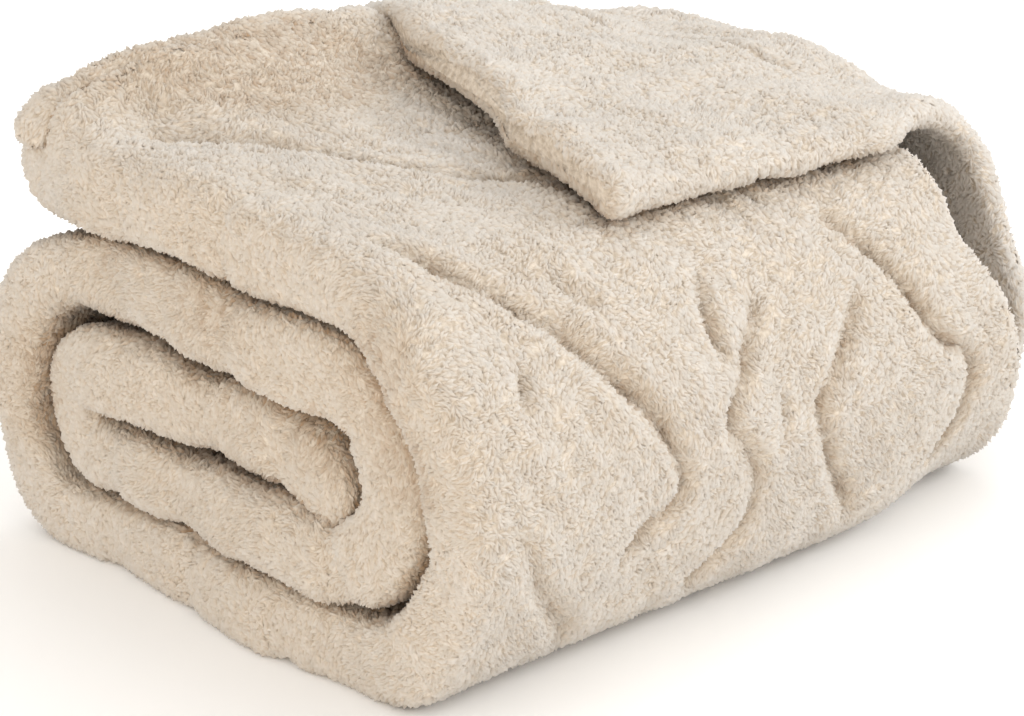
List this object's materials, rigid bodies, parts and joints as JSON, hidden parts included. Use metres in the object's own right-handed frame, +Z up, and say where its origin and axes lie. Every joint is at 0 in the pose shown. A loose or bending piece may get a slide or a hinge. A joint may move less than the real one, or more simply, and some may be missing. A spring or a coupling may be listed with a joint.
{
  "type": "dog blanket",
  "caption": "Soft plush dog blanket, folded lengthwise and wound into a flattened roll, its loose corner laid forward over the top.",
  "frame": {"origin": "middle of the roll's box, on the floor it lies on", "axes": "+X along the roll, from the end that shows the winding to the end under the loose corner; -Y is the long front side; +Z up"},
  "size_m": [0.3418, 0.2622, 0.1862],
  "materials": {
    "plush": "short soft curly pile, matt, warm beige"
  },
  "bodies": {
    "root": {"blanket": "plush"}
  },
  "joints": []
}
